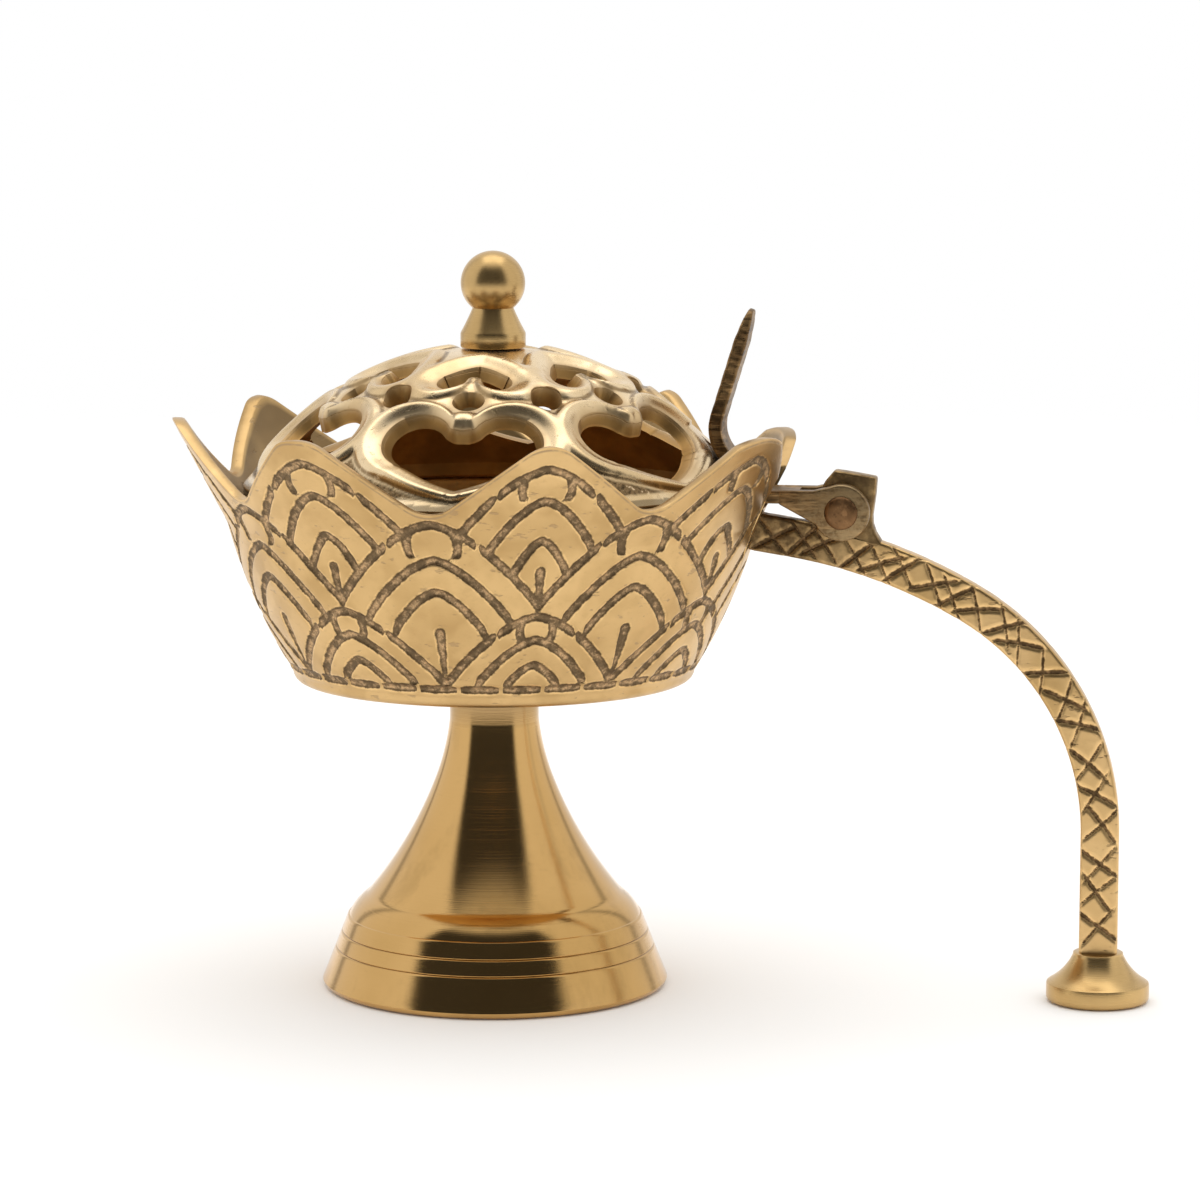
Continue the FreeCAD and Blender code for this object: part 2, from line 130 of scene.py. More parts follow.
class Finish:
    """One metal finish, built on the Principled shader."""

    def __init__(self, name):
        self.material = bpy.data.materials.new(name)
        self.material.use_nodes = True
        self.tree = self.material.node_tree
        self.shader = self.tree.nodes["Principled BSDF"]
        self.shader.inputs["Metallic"].default_value = 1.0
        self.place = self.node("ShaderNodeTexCoord", {}, {}, "Object")

    def node(self, kind, settings, sockets, out=0):
        return node(self.tree, kind, settings, sockets, out)

    def axis(self, name):
        return self.node("ShaderNodeSeparateXYZ", {}, {0: self.place}, name) * mm_per_m

    def grain(self, per_mm, detail=3.0, rough=0.55, stretch=None):
        """Cloudy noise from about 0 to 1, so many blots to the millimetre."""
        place = self.place
        if stretch:
            place = self.node("ShaderNodeMapping", {}, {"Vector": place, "Scale": stretch})
        return self.node("ShaderNodeTexNoise", {"noise_dimensions": "3D"},
                         {"Vector": place, "Scale": per_mm * mm_per_m, "Detail": detail,
                          "Roughness": rough})

    def rings(self, per_mm, detail=4.0):
        return self.node("ShaderNodeTexNoise", {"noise_dimensions": "1D"},
                         {"W": self.axis("Z"), "Scale": per_mm, "Detail": detail, "Roughness": 0.7})

    def mark(self, name):
        return self.node("ShaderNodeAttribute", {"attribute_name": name}, {}, "Fac")

    def mix(self, share, low, high):
        pair = [value if isinstance(value, Signal) else (*value, 1.0) for value in (low, high)]
        return self.node("ShaderNodeMix", {"data_type": "RGBA"}, {0: share, 6: pair[0], 7: pair[1]}, 2)

    def bump(self, height, depth_mm, strength=1.0):
        return self.node("ShaderNodeBump", {}, {"Height": height, "Distance": depth_mm * mm,
                                                "Strength": strength})

    def wear(self, **sockets):
        for name, value in sockets.items():
            socket = self.shader.inputs[name.replace("_", " ")]
            if isinstance(value, Signal):
                self.tree.links.new(value.socket, socket)
            else:
                socket.default_value = value
        return self.material


# Finishes

# Painted shade: brown for the petals' inner faces and for the rim beside the strap
shade_brown = (0.23, 0.15, 0.07)
# Darker brown for the pedestal's score grooves and for the top of its neck under the bowl
dirt_and_shade_brown = (0.36, 0.235, 0.11)
# Painted shade tone for the walls of the lid's piercings
hole_wall_shade = (0.52, 0.35, 0.17)
# Painted shade: near-black for the lid's rim where it sits in the bowl
gap_shade_dark = (0.055, 0.038, 0.020)
rubbed_bare = (0.41, 0.290, 0.150)


def toned(colour, times):
    return tuple(times * tone for tone in colour)


def engraved_brass(name, light, deep, groove, dirt_and_shade_tone, half_width):
    metal = Finish(name)
    cut = metal.mark("cut")
    rim = metal.mark("rim")
    speck = metal.grain(2.4, 4.0, 0.7)
    chisel = metal.grain(0.8, 3.0, 0.6)
    patch = metal.grain(0.07, 3.0).step(0.36, 0.66)
    scratch = metal.grain(0.7, 5.0, 0.75, (1.0, 1.0, 1.8))
    nick = metal.grain(0.75, 3.0, 0.6, (0.6, 0.6, 1.6)).step(0.63, 0.69)
    edge = cut + (speck - 0.5) * 0.24 + (chisel - 0.5) * 0.50
    inside = 1.0 - edge.step(half_width - 0.08, half_width + 0.08)
    bank_shade = edge.step(0.45 * half_width, 0.92 * half_width)
    # Painted highlight: a bright line just outside each groove's edge, where the land turns a brighter
    # copy of its colour
    bright = toned(light, 1.25)
    shine = (edge.step(half_width, half_width + 0.08)
             * (1.0 - edge.step(half_width + 0.12, half_width + 0.3)))
    wave = metal.grain(0.22, 2.0, 0.5)
    land = metal.mix(patch * 0.6 + wave.step(0.42, 0.62) * 0.4, light, deep)
    land = metal.mix(shine * chisel.step(0.38, 0.6) * 0.7, land, bright)
    land = metal.mix(scratch.step(0.50, 0.75) * 0.4, land, deep)
    land = metal.mix(nick * 0.55, land, groove)
    burr = (1.0 - abs(rim - 0.42).step(0.05, 0.26)) * chisel.step(0.30, 0.55)
    land = metal.mix(burr * 0.9, land, groove)
    # Painted shade in the bowl's hollow; on the handle, darker towards its root and on the lug and tenon
    # plates
    dirt_and_shade = metal.mark("dirt_and_shade") * (0.45 + 0.55 * chisel.step(0.25, 0.65))
    land = metal.mix(dirt_and_shade, land, dirt_and_shade_tone)
    # Painted shade: the petals' inner faces and the rim of the petal beside the strap turn brown
    land = metal.mix(metal.mark("shade") * (0.6 + 0.4 * patch), land, shade_brown)
    pale = toned(groove, 1.8)
    dark = toned(groove, 0.34)
    bed = metal.mix(speck.step(0.42, 0.60), groove, pale)
    bed = metal.mix(chisel.step(0.58, 0.42) * 0.8, bed, dark)
    # Painted shade: the groove bed darkens towards both banks
    bed = metal.mix(bank_shade * 0.75, bed, dark)
    sunk = 1.0 - edge.step(0.2 * half_width, half_width + 0.1)
    height = (speck * (0.2 + inside * 1.2) + scratch * 0.35 + wave * 1.2
              - nick * 0.8 - burr * 0.6 - sunk * 3.0)
    return metal.wear(Base_Color=metal.mix(inside, land, bed),
                      Roughness=0.28 + scratch * 0.12 + dirt_and_shade * 0.12 + inside * 0.26,
                      Normal=metal.bump(height, 0.06, 0.6))


def turned_brass(name, light, deep, rough):
    metal = Finish(name)
    fine = metal.rings(7.0)
    broad = metal.rings(0.9, 2.0)
    patch = metal.grain(0.05, 3.0).step(0.35, 0.7)
    scuff = metal.grain(0.5, 4.0, 0.7, (1.0, 1.0, 6.0)).step(0.6, 0.8)
    tide = metal.grain(0.16, 4.0, 0.65, (1.0, 1.0, 0.35)).step(0.50, 0.72)
    colour = metal.mix(patch * 0.6 + fine * 0.3, light, deep)
    colour = metal.mix(scuff * 0.3 + tide * 0.25, colour, toned(deep, 0.55))
    # The score grooves and the top of the neck under the bowl turn darker brown
    colour = metal.mix(metal.mark("dirt_and_shade") * 0.9, colour, dirt_and_shade_brown)
    return metal.wear(Base_Color=colour, Roughness=rough + fine * 0.06 + scuff * 0.06 + tide * 0.04,
                      Normal=metal.bump(fine * 0.8 + broad * 0.2, 0.012, 0.7))


def cast_lid_brass(name, light, deep, matted, dark):
    metal = Finish(name)
    seam = metal.mark("seam")
    inner = metal.mark("inner")
    border = metal.mark("border")
    speck = metal.grain(1.7, 4.0, 0.7)
    patch = metal.grain(0.12, 3.0).step(0.36, 0.66)
    pit = metal.grain(1.3, 3.0).step(0.62, 0.74)
    rub = metal.grain(0.35, 4.0, 0.7, (3.0, 3.0, 1.0))
    ring = metal.mix(patch, light, deep)
    ring = metal.mix(pit * 0.35, ring, matted)
    line = (1.0 - abs(border).step(0.06, 0.36)) * rub.step(0.26, 0.46)
    ring = metal.mix(line * 0.9, ring, matted)
    ground = metal.mix(speck.step(0.36, 0.56), toned(matted, 0.3), matted)
    ground = metal.mix(speck.step(0.58, 0.70), ground, light)
    colour = metal.mix(seam, ring, ground)
    # Painted shade: the piercings' walls go from the hole-wall tone to the dark tone going inward, the
    # dome's underside and the skirt's inside take the dark tone, and the top is tinted near the holes
    wall = inner.step(0.02, 0.10)
    depth = (inner + (rub - 0.5) * 0.3).step(0.05, 0.55)
    colour = metal.mix(wall, colour, metal.mix(depth, hole_wall_shade, dark))
    under = inner.step(0.80, 1.0)
    colour = metal.mix(under, colour, metal.mix(patch, dark, toned(dark, 1.6)))
    # Painted shade: the lower outer skirt and a ring at the dome's edge darken almost to black
    colour = metal.mix(metal.mark("gap_shade"), colour, gap_shade_dark)
    height = speck * (0.2 + seam * 1.8 + wall * 0.3) - pit * 0.5 + rub * 0.3 - line
    return metal.wear(Base_Color=colour,
                      Roughness=0.20 + rub * 0.14 + seam * 0.25 + wall * 0.25,
                      Normal=metal.bump(height, 0.06, 0.6))


def tarnished_brass(name, bright, brown, black, lines):
    metal = Finish(name)
    speck = metal.grain(1.8, 4.0, 0.7)
    patch = metal.grain(0.22, 4.0, 0.6)
    filed = metal.grain(0.5, 3.0, 0.7, lines)
    colour = metal.mix(patch.step(0.38, 0.62), brown, bright)
    colour = metal.mix(filed.step(0.54, 0.66) * 0.8, colour, black)
    colour = metal.mix(filed.step(0.47, 0.37) * 0.7, colour, toned(bright, 1.7))
    colour = metal.mix(speck.step(0.58, 0.72) * 0.6, colour, black)
    rubbed = metal.mark("bare") * (0.25 + 0.75 * (patch + speck - 0.5).step(0.30, 0.60))
    colour = metal.mix(rubbed, colour, rubbed_bare)
    return metal.wear(Base_Color=colour, Roughness=0.34 + speck * 0.22,
                      Normal=metal.bump(speck * 0.6 + filed, 0.07, 0.6))


gold = (0.68, 0.42, 0.160)
old_gold = (0.54, 0.32, 0.105)
champagne = (0.92, 0.72, 0.45)
taupe = (0.37, 0.250, 0.134)
# The fifth colour of each engraved finish is painted shade: orange brown for the bowl's shaded hollow,
# dark brown where the handle darkens at its root, lug and tenon
bowl_finish = engraved_brass("engraved_bowl_brass", (0.680, 0.455, 0.205), (0.500, 0.318, 0.130), taupe,
                             (0.80, 0.50, 0.170), 0.54)
handle_finish = engraved_brass("hatched_handle_brass", (0.76, 0.510, 0.235), (0.59, 0.380, 0.155),
                               (0.25, 0.155, 0.074), (0.150, 0.094, 0.043), 0.17)
pedestal_finish = turned_brass("turned_pedestal_brass", gold, old_gold, 0.085)
knob_finish = turned_brass("turned_knob_brass", (0.68, 0.46, 0.20), (0.50, 0.32, 0.125), 0.25)
# The last colour of the lid's finish is the painted shade tone for its inside
lid_finish = cast_lid_brass("cast_lid_brass", champagne, (0.72, 0.52, 0.28), (0.29, 0.19, 0.092),
                            (0.44, 0.26, 0.09))
strap_finish = tarnished_brass("tarnished_strap_brass", (0.29, 0.18, 0.08), (0.15, 0.087, 0.037),
                               (0.045, 0.028, 0.014), (0.4, 0.4, 3.0))
pin_finish = tarnished_brass("reddish_pin_brass", (0.25, 0.135, 0.060), (0.15, 0.078, 0.034),
                             (0.07, 0.036, 0.018), (1.0, 1.0, 1.0))
screw_finish = tarnished_brass("plain_screw_brass", (0.62, 0.42, 0.19), (0.42, 0.27, 0.11),
                               (0.10, 0.06, 0.03), (1.0, 1.0, 2.0))


# Modelling helpers

def piece(name, bm, body, nodes, finish, sharp=35.0):
    bmesh.ops.scale(bm, vec=(mm, mm, mm), verts=bm.verts)
    mesh = bpy.data.meshes.new(name)
    bm.to_mesh(mesh)
    bm.free()
    mesh.materials.append(finish)
    mesh.shade_smooth()
    mesh.set_sharp_from_angle(angle=math.radians(sharp))
    made = bpy.data.objects.new(name, mesh)
    scene.collection.objects.link(made)
    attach(made, body)
    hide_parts(*nodes)


def close_up(bm):
    bmesh.ops.remove_doubles(bm, verts=bm.verts, dist=1e-4)
    bmesh.ops.recalc_face_normals(bm, faces=bm.faces)


def circle_through(a, b, c):
    (ax, ay), (bx, by), (cx, cy) = a, b, c
    d = 2 * (ax * (by - cy) + bx * (cy - ay) + cx * (ay - by))
    squares = [x * x + y * y for x, y in (a, b, c)]
    x = (squares[0] * (by - cy) + squares[1] * (cy - ay) + squares[2] * (ay - by)) / d
    y = (squares[0] * (cx - bx) + squares[1] * (ax - cx) + squares[2] * (bx - ax)) / d
    return x, y, math.hypot(ax - x, ay - y)


def arc(a, b, c, count):
    """Points from a to c on the circle through b, without a itself."""
    x, y, r = circle_through(a, b, c)
    start = math.atan2(a[1] - y, a[0] - x)
    turn = [(math.atan2(p[1] - y, p[0] - x) - start) % (2 * math.pi) for p in (b, c)]
    span = turn[1] if turn[0] < turn[1] else turn[1] - 2 * math.pi
    angles = [start + span * (i + 1) / count for i in range(count)]
    return [(x + r * math.cos(angle), y + r * math.sin(angle)) for angle in angles]


def turned(profile, steps):
    bm = bmesh.new()
    verts = [bm.verts.new((r, 0, z)) for r, z in profile]
    edges = [bm.edges.new(pair) for pair in zip(verts, verts[1:])]
    bmesh.ops.spin(bm, geom=verts + edges, axis=(0, 0, 1), cent=(0, 0, 0), angle=2 * math.pi,
                   steps=steps, use_merge=True)
    close_up(bm)
    return bm


def places(bm):
    return np.array([v.co for v in bm.verts])


def move(bm, spots):
    for v, spot in zip(bm.verts, spots):
        v.co = spot


def set_mark(bm, name, values):
    layer = bm.verts.layers.float.new(name)
    for v, value in zip(bm.verts, values):
        v[layer] = value


def bent_line(points, bends):
    """A fine line along straight runs joined by round bends."""
    path = [Vector(p) for p in points]
    line = [path[0]]
    for before, corner, after, bend in zip(path, path[1:], path[2:], bends):
        a, b = (corner - before).normalized(), (after - corner).normalized()
        turn = math.atan2(a.x * b.y - a.y * b.x, a.dot(b))
        start = corner - a * bend * math.tan(abs(turn) / 2)
        side = Vector((-a.y, a.x)) * math.copysign(bend, turn)
        for i in range(61):
            line.append(start + side - Matrix.Rotation(turn * i / 60, 2) @ side)
    line.append(path[-1])
    return np.array(line)


def sweep(line, section, steps, around):
    """A bar along a line in the XZ plane; section gives its half sizes and corner at each length."""
    lengths = np.concatenate([[0], np.cumsum(np.hypot(*np.diff(line, axis=0).T))])
    bm = bmesh.new()
    bmesh.ops.create_grid(bm, x_segments=steps, y_segments=around, size=0.5)
    grid = places(bm)
    s = (grid[:, 0] + 0.5) * lengths[-1]
    turn = (grid[:, 1] + 0.5) % 1.0

    def spot(at):
        return np.stack([np.interp(at, lengths, line[:, i]) for i in (0, 1)], 1)

    run = spot(np.minimum(s + 0.05, lengths[-1])) - spot(np.maximum(s - 0.05, 0))
    run /= np.hypot(*run.T)[:, None]
    half_a, half_b, corner = section(s, lengths[-1])
    flat_a, flat_b = half_a - corner, half_b - corner
    bend = corner * math.pi / 2
    lap = 4 * (flat_a + flat_b + bend)
    q = turn * lap
    a, b, out_a, out_b = (np.zeros_like(q) for _ in range(4))
    edge = np.zeros_like(q)
    hair = 1e-9
    for quarter, (sign_a, sign_b) in enumerate(((1, 1), (-1, 1), (-1, -1), (1, -1))):
        on_a = quarter % 2 == 0
        for kind in ("flat", "bend"):
            span = 2 * (flat_b if on_a else flat_a) if kind == "flat" else bend
            here = (q >= edge - hair) & (q <= edge + span + hair)
            w = np.clip((q - edge) / np.maximum(span, hair), 0, 1)
            if kind == "bend":
                angle = quarter * math.pi / 2 + w * math.pi / 2
                part = (sign_a * flat_a + corner * np.cos(angle), sign_b * flat_b + corner * np.sin(angle),
                        np.cos(angle), np.sin(angle))
            elif on_a:
                part = (sign_a * half_a, sign_a * flat_b * (2 * w - 1), sign_a + 0 * q, 0 * q)
            else:
                part = (-sign_b * flat_a * (2 * w - 1), sign_b * half_b, 0 * q, sign_b + 0 * q)
            a, b, out_a, out_b = (np.where(here, new, old)
                                  for new, old in zip(part, (a, b, out_a, out_b)))
            edge = edge + span
    normal = np.stack([-run[:, 1], run[:, 0]], 1)
    return bm, s, a, b, out_a, out_b, spot(s), normal


# Bowl

belly_x, belly_y, belly_round = circle_through((bowl_base_r, bowl_z + bowl_edge), belly, shoulder)


def wall_radius(z):
    z = np.asarray(z, float)
    low = belly_x + np.sqrt(belly_round ** 2 - (np.minimum(z, shoulder[1]) - belly_y) ** 2)
    return np.where(z > shoulder[1], shoulder[0] + (z - shoulder[1]) * petal_slope, low)


petal_half = tip_r * math.sin(math.pi / 8)
valley_mid, tip_mid = valley_z + valley_round, tip_z - tip_round
petal_lean = (math.atan2(tip_mid - valley_mid, petal_half)
              + math.asin((valley_round + tip_round) / math.hypot(petal_half, tip_mid - valley_mid)))


def scallop_height(t):
    """The height of the rim's outline at a distance from the middle of a valley."""
    a = (valley_round * math.sin(petal_lean), valley_mid - valley_round * math.cos(petal_lean))
    b = petal_half - tip_round * math.sin(petal_lean)
    valley = valley_mid - np.sqrt(np.maximum(valley_round ** 2 - t ** 2, 0))
    to_tip = np.minimum(t, petal_half) - petal_half
    crest = tip_mid + np.sqrt(np.maximum(tip_round ** 2 - to_tip ** 2, 0))
    flank = a[1] + (t - a[0]) * math.tan(petal_lean)
    return np.where(t < a[0], valley, np.where(t < b, flank, crest))


def low_crest(z, u, half_gap, drop):
    """Lowers one petal to a broader round between the same flanks."""
    start = petal_half - tip_round * math.sin(petal_lean), tip_mid + tip_round * math.cos(petal_lean)
    apex = start[1] + (tip_r * math.sin(half_gap) - start[0]) * math.tan(petal_lean)
    lean = math.atan(math.tan(petal_lean) * math.cos(half_gap))
    broad = (apex - tip_z + drop) / (1 / math.cos(lean) - 1)
    round_z = tip_z - drop - broad + np.sqrt(np.maximum(broad ** 2 - u ** 2, 0))
    return np.where(np.abs(u) < broad * math.sin(lean), np.minimum(z, round_z), z)


def rim_height(phi, inset):
    turn = phi % 360
    delta = np.min([np.abs(turn - valley) for valley in valleys], 0)
    z = np.full_like(phi, 66.0)
    for _ in range(14):
        z = scallop_height((wall_radius(z) - inset) * np.sin(np.radians(delta)))
    for i, drop in low_petals:
        before, after = valleys[i:i + 2]
        off = np.radians(turn - (before + after) / 2)
        u = (wall_radius(z) - inset) * np.sin(off)
        lowered = low_crest(z, u, math.radians(after - before) / 2, drop)
        z = np.where((turn > before) & (turn < after), lowered, z)
    across = np.abs((wall_radius(notch_z) - inset) * np.sin(np.radians(phi)))
    at_handle = (np.abs((phi + 180) % 360 - 180) < 20) & (across < notch_half)
    return np.where(at_handle, notch_z, z)


# Rows of scales: arches as top, half turn and end height, then the caps and the leaf
scale_pitch, half_pitch = 45.0, 22.5
first_row = (((49.6, 21.4, 41.6), (46.7, 14.4, 41.0), (43.5, 7.0, 40.8)), (3.9, 47.8), None)
second_row = (((60.8, 22.3, 51.0), (56.4, 16.2, 49.2), (52.6, 10.4, 47.7)), (5.2, 58.1), (48.2, 42.0))
third_row = (((67.5, 16.7, 59.5), (63.7, 10.8, 57.7), (58.8, 5.6, 55.0)), (4.6, 65.1), (55.7, 50.6))


def scale_row(phi, z, offset, arches, caps, leaf):
    """Distances to one row's cut lines: its outer arch, its inner lines, and the side of the arch."""
    arch_bend = 1.5
    lift_at, lift_half, lift = 9.4, 0.5, 0.7
    cap_bow, cap_half = 0.18, 0.9
    leaf_stem, leaf_swell, leaf_edge, leaf_round = 0.12, 0.58, 0.58, 0.7
    delta = (phi - offset + half_pitch) % scale_pitch - half_pitch
    radius = wall_radius(z)
    t = radius * np.radians(delta)
    lines, side = [], None
    for top, end_delta, end_z in arches:
        share = np.abs(delta) / end_delta
        line_z = top - (top - end_z) * share ** arch_bend
        slope = (top - end_z) * arch_bend * share ** (arch_bend - 1) / (radius * math.radians(end_delta))
        past = np.maximum(0, share - 1) * radius * math.radians(end_delta) * (side is not None)
        lines.append(np.hypot(np.abs(z - line_z) / np.sqrt(1 + slope ** 2), 1.5 * past))
        side = z - line_z if side is None else side
    lines[0] = lines[0] + lift * np.clip(1 - np.abs(np.abs(delta) - lift_at) / lift_half, 0, 1)
    inner = np.minimum(lines[1], lines[2])
    cap_delta, cap_z = caps
    bow = radius * math.radians(cap_delta) - cap_bow * (z - cap_z) ** 2
    stroke = np.maximum(np.abs(np.abs(t) - bow), np.abs(z - cap_z) - cap_half)
    inner = np.minimum(inner, stroke)
    if leaf:
        leaf_top, leaf_foot = leaf
        share = (z - leaf_foot) / (leaf_top - leaf_foot)
        width = leaf_stem + leaf_swell * np.clip(share, 0, 1) ** 0.5
        above = np.maximum(0, z - leaf_top + leaf_round)
        outside = np.hypot(t, above) + leaf_edge - width + 3 * np.maximum(0, -share)
        inner = np.minimum(inner, outside)
    return lines[0], inner, side


def engraving(phi, z):
    """How far each point of the bowl's wall is from the nearest cut line, in millimetres."""
    petal_foot, dash_z, dash_top, dash_pitch = 57.0, 40.35, 40.9, 11.25
    turn = phi % 360
    phi = np.interp(turn, valleys, [scale_pitch * i for i in range(len(valleys))])
    petal_z = z
    for i, drop in low_petals:
        squeezed = petal_foot + (z - petal_foot) * (tip_z - petal_foot) / (tip_z - drop - petal_foot)
        on_petal = (turn > valleys[i]) & (turn < valleys[i + 1]) & (z > petal_foot)
        petal_z = np.where(on_petal, squeezed, petal_z)
    first = scale_row(phi, z, half_pitch, *first_row)
    second = scale_row(phi, z, 0.0, *second_row)
    third = scale_row(phi, petal_z, half_pitch, *third_row)
    far = np.full_like(z, uncut)
    in_first, in_second, in_third = (row[2] < 0 for row in (first, second, third))
    away = np.minimum(far, first[0])
    away = np.minimum(away, np.where(in_first, first[1], second[0]))
    away = np.where(in_first, away, np.minimum(away, np.where(in_second, second[1], third[0])))
    open_third = ~in_first & ~in_second & in_third
    away = np.where(open_third, np.minimum(away, third[1]), away)
    along = (turn % dash_pitch) / (dash_pitch / 2) - 1
    dash = np.where(np.abs(along) < 0.93, np.abs(z - dash_z) + 0.30 * along ** 4, far)
    return np.where(z < dash_top, dash, np.minimum(away, dash))


def make_bowl():
    floor_z, reach = bowl_z + bowl_floor, 0.35
    mid_floor_r, edge_mid = 12.0, (24.149, 38.351)
    groove_depth, groove_half = 0.34, 0.60
    inner_low = (bowl_base_r - 1.6, floor_z + 0.6)
    inner_mid = ((seat_r + inner_low[0]) / 2 + 0.45, (seat_z + inner_low[1]) / 2)
    top = tip_z - reach
    heights = np.linspace(bowl_z + bowl_edge, top, wall_rings)
    profile = [(bowl_bore_r, bowl_z), (mid_floor_r, bowl_z), (bowl_base_r - bowl_edge, bowl_z)]
    profile += arc(profile[-1], edge_mid, (bowl_base_r, bowl_z + bowl_edge), 5)
    profile += [(float(wall_radius(z)), z) for z in heights[1:]]
    inner_tip = tip_r - petal_wall
    profile += [(tip_r - 0.12, tip_z - 0.10), (tip_r - 0.36, tip_z), (inner_tip + 0.36, tip_z),
                (inner_tip + 0.02, tip_z - 0.10)]
    profile += [(float(wall_radius(z)) - petal_wall, z) for z in np.linspace(top, seat_z, petal_rings)]
    profile += [(seat_r + 0.2, seat_z), (seat_r, seat_z - 0.2)]
    profile += arc(profile[-1], inner_mid, inner_low, 12)
    profile += [(inner_low[0] - 1.0, floor_z), (mid_floor_r, floor_z), (bowl_bore_r, floor_z),
                (bowl_bore_r, bowl_z)]
    bm = turned(profile, bowl_steps)
    spots = places(bm)
    x, y, z = spots.T
    r, phi = np.hypot(x, y), np.degrees(np.arctan2(y, x))
    outer_rim, inner_rim = rim_height(phi, 0.0), rim_height(phi, petal_wall)
    rim = z > top + 0.01
    outer = (z > bowl_z + bowl_edge - 0.01) & (r > wall_radius(z) - 0.3) & ~rim
    inner = (z > seat_z + 0.01) & ~outer & ~rim
    across = np.clip((r - inner_tip) / petal_wall, 0, 1)
    share = (z - heights[0]) / (top - heights[0])
    new_z = np.where(outer, heights[0] + share * (outer_rim - reach - heights[0]), z)
    share = (z - seat_z) / (top - seat_z)
    new_z = np.where(inner, seat_z + share * (inner_rim - reach - seat_z), new_z)
    new_z = np.where(rim, inner_rim + across * (outer_rim - inner_rim) + z - tip_z, new_z)
    edge_z = inner_rim + across * (outer_rim - inner_rim)
    new_r = np.where(outer, wall_radius(new_z), r)
    new_r = np.where(inner, wall_radius(new_z) - petal_wall, new_r)
    new_r = np.where(rim, wall_radius(edge_z) + r - tip_r, new_r)
    away = np.where(outer, engraving(phi, new_z), uncut)
    below_rim = np.where(outer, outer_rim - new_z, no_rim)
    bite = 0.85 + 0.15 * np.sin(phi * 3.1 + 1.7 * np.sin(new_z * 2.3)) * np.cos(new_z * 3.7)
    new_r = new_r - groove_depth * bite * np.clip(1 - (away / groove_half) ** 2, 0, 1)
    move(bm, np.stack([new_r * x / r, new_r * y / r, new_z], 1))
    set_mark(bm, "cut", away)
    set_mark(bm, "rim", below_rim)
    # Painted shade: the hollow inside of the bowl, seen in shade through the piercings, gets its own tone
    hollow = ~outer & ~rim & ~inner & (z > bowl_z + 1)
    set_mark(bm, "dirt_and_shade", np.where(hollow, 1.0, 0.0))
    # Painted shade on the petals' inner faces below their rim and on the rim of the petal beside the strap
    beside_strap = rim & (phi % 360 < valleys[1])
    in_shade = np.where(inner & (new_z < inner_rim - 0.5), 1.0, 0.0)
    set_mark(bm, "shade", np.where(beside_strap, 0.7, in_shade))
    piece("bowl_engraved", bm, "base", ["bowl"], bowl_finish, 50.0)


# Turned pieces

def make_pedestal():
    hollow_z, neck_r, neck_z, bore_r, bore_z = 24.0, 5.45, 37.98, 1.9, 27.5
    foot_r, band_z, band_top_r, band_rise = 21.2, 0.7, 18.05, 8.0
    scores, score_half, score_depth = (4.8, 6.7), 0.09, 0.13
    lip, flare_foot, neck_foot = (17.83, 8.85), (15.6, 11.35), (7.45, 25.05)
    neck_dark_z, neck_dark_run = 32.4, 1.2
    profile = [(0.0, hollow_z), (3.4, hollow_z)]
    profile += arc(profile[-1], (8.47, 15.4), (13.1, 8.85), 16)
    profile += [(15.65, 6.2), (18.0, 0.15), (18.2, 0.0), (20.45, 0.0), (20.8, 0.12), (21.08, 0.4),
                (foot_r, 0.75)]
    lean = (foot_r - band_top_r) / band_rise

    def band(z, cut=0.0):
        return foot_r - lean * (z - band_z) - cut, z

    profile += [band(1.0), band(1.2)]
    for z in scores:
        profile += [band(z - 0.3), band(z - 0.15), band(z - score_half, 0.04), band(z, score_depth),
                    band(z + score_half, 0.04), band(z + 0.15), band(z + 0.3)]
    profile += [band(8.1), band(8.35), (18.11, 8.58), (18.03, 8.68), (17.88, 8.74), lip]
    profile += arc(lip, (17.17, 9.88), flare_foot, 10)
    profile += arc(flare_foot, (10.97, 17.9), neck_foot, 40)
    profile += arc(neck_foot, (6.15, 29.02), (neck_r, 33.0), 20)
    profile += [(neck_r, 35.0), (neck_r, neck_z), (bore_r, neck_z), (bore_r, bore_z), (0.0, bore_z)]
    bm = turned(profile, pedestal_steps)
    z = places(bm)[:, 2]
    scored = np.min([np.abs(z - score) for score in scores], 0) < 0.05
    # The score grooves are darkened, and so is the neck from just under the bowl upward
    set_mark(bm, "dirt_and_shade", np.where(scored, 1.0, np.clip((z - neck_dark_z) / neck_dark_run, 0, 1)))
    piece("pedestal_turned", bm, "base", ["pedestal"], pedestal_finish, 28.0)


def make_knob():
    seat = 78.35
    ball_z, ball_r, neck_r = 86.1, 3.9, 2.5
    neck = ball_z - math.sqrt(ball_r ** 2 - neck_r ** 2)
    under_ball = (2.61, neck + 0.1)
    profile = [(0.0, seat), (3.85, seat), (3.95, seat + 0.12), (3.95, seat + 1.66), (3.91, seat + 1.82),
               (3.82, seat + 1.98)]
    profile += arc(profile[-1], (3.09, seat + 3.4), (2.52, neck - 0.1), 10)
    profile += [(neck_r, neck), under_ball]
    profile += arc(under_ball, (ball_r, ball_z), (0.0, ball_z + ball_r), 34)
    bm = turned(profile, small_steps)
    piece("knob_turned", bm, "lid", ["knob"], knob_finish, 40.0)


